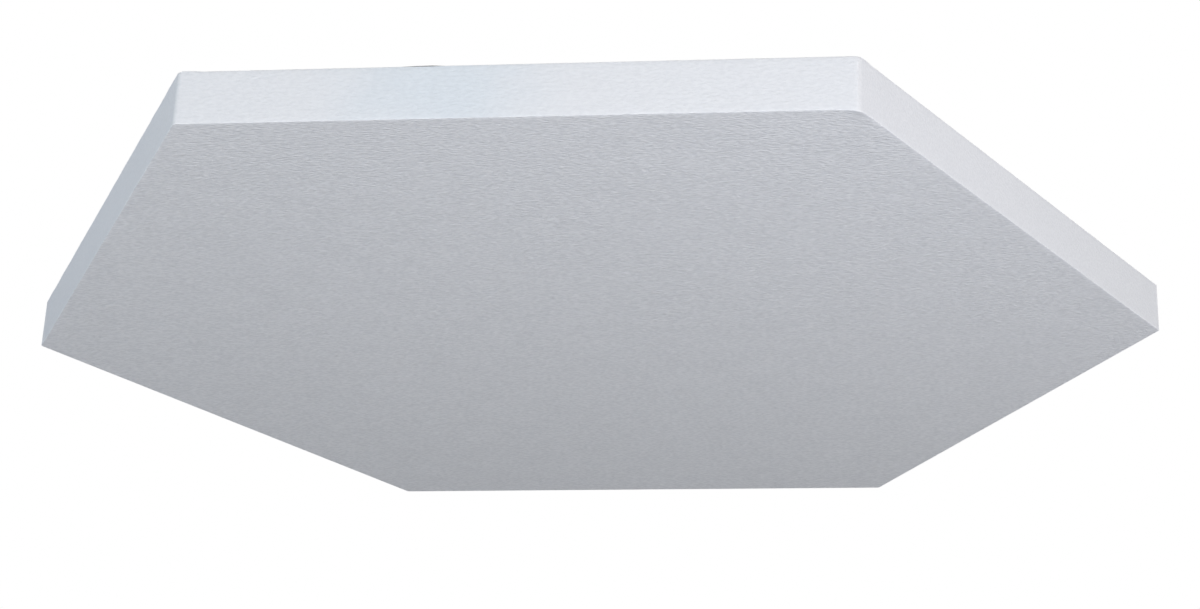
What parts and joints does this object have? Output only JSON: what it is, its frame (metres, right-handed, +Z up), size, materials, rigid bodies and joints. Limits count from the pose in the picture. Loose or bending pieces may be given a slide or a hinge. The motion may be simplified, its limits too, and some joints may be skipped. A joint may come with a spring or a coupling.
{
  "type": "hexagonal acoustic cloud",
  "caption": "Flat hexagonal sound-absorbing ceiling cloud: white cloth stretched over a mitred wooden frame and a glass wool board, with swinging D-rings on its back to hang it level.",
  "frame": {"origin": "the centre of the back's outer face, in the middle of the four D-rings that hold the part up", "axes": "+Z up towards the ceiling, the room face looks along -Z; +X through two opposite corners; -Y out of the front side, the one nearest to the viewer in the picture"},
  "size_m": [0.9132, 0.7918, 0.0458],
  "materials": {
    "cover_cloth": "matt white acoustic cloth with a fine grain",
    "back_cloth": "charcoal spunbond dust cloth",
    "glass_wool": "pressed yellow glass wool board",
    "softwood": "planed softwood",
    "plywood": "sanded birch plywood",
    "zinc_plate": "bright zinc plated steel",
    "screw_steel": "bright zinc plated steel"
  },
  "bodies": {
    "cloud": {"face_cover": "cover_cloth", "back_cloth": "back_cloth", "core_board": "glass_wool", "rail_rear_right": "softwood", "rail_rear": "softwood", "rail_rear_left": "softwood", "rail_front_left": "softwood", "rail_front": "softwood", "rail_front_right": "softwood", "gusset_right": "plywood", "gusset_rear_right": "plywood", "gusset_rear_left": "plywood", "gusset_left": "plywood", "gusset_front_left": "plywood", "gusset_front_right": "plywood", "gusset_screw_right_to_rear_right_rail": "screw_steel", "gusset_screw_right_to_front_right_rail": "screw_steel", "gusset_screw_rear_right_to_rear_rail": "screw_steel", "gusset_screw_rear_right_to_rear_right_rail": "screw_steel", "gusset_screw_rear_left_to_rear_left_rail": "screw_steel", "gusset_screw_rear_left_to_rear_rail": "screw_steel", "gusset_screw_left_to_front_left_rail": "screw_steel", "gusset_screw_left_to_rear_left_rail": "screw_steel", "gusset_screw_front_left_to_front_rail": "screw_steel", "gusset_screw_front_left_to_front_left_rail": "screw_steel", "gusset_screw_front_right_to_front_right_rail": "screw_steel", "gusset_screw_front_right_to_front_rail": "screw_steel", "hanger_strap_rear_right": "zinc_plate", "hanger_strap_rear_left": "zinc_plate", "hanger_strap_front_left": "zinc_plate", "hanger_strap_front_right": "zinc_plate", "hanger_screw_rear_right_outer": "screw_steel", "hanger_screw_rear_right_inner": "screw_steel", "hanger_screw_rear_left_outer": "screw_steel", "hanger_screw_rear_left_inner": "screw_steel", "hanger_screw_front_left_outer": "screw_steel", "hanger_screw_front_left_inner": "screw_steel", "hanger_screw_front_right_outer": "screw_steel", "hanger_screw_front_right_inner": "screw_steel"},
    "ring_rear_right": {"d_ring_rear_right": "zinc_plate"},
    "ring_rear_left": {"d_ring_rear_left": "zinc_plate"},
    "ring_front_left": {"d_ring_front_left": "zinc_plate"},
    "ring_front_right": {"d_ring_front_right": "zinc_plate"}
  },
  "joints": [
    {"name": "swing_rear_right", "type": "hinge", "parent": "cloud", "child": "ring_rear_right", "pos_m": [0.2086, 0.34195, 0.003], "axis": [-1, 0, 0], "range_deg": [0, 178]},
    {"name": "swing_rear_left", "type": "hinge", "parent": "cloud", "child": "ring_rear_left", "pos_m": [-0.2086, 0.34195, 0.003], "axis": [-1, 0, 0], "range_deg": [0, 178]},
    {"name": "swing_front_left", "type": "hinge", "parent": "cloud", "child": "ring_front_left", "pos_m": [-0.2086, -0.34195, 0.003], "axis": [1, 0, 0], "range_deg": [0, 178]},
    {"name": "swing_front_right", "type": "hinge", "parent": "cloud", "child": "ring_front_right", "pos_m": [0.2086, -0.34195, 0.003], "axis": [1, 0, 0], "range_deg": [0, 178]}
  ]
}
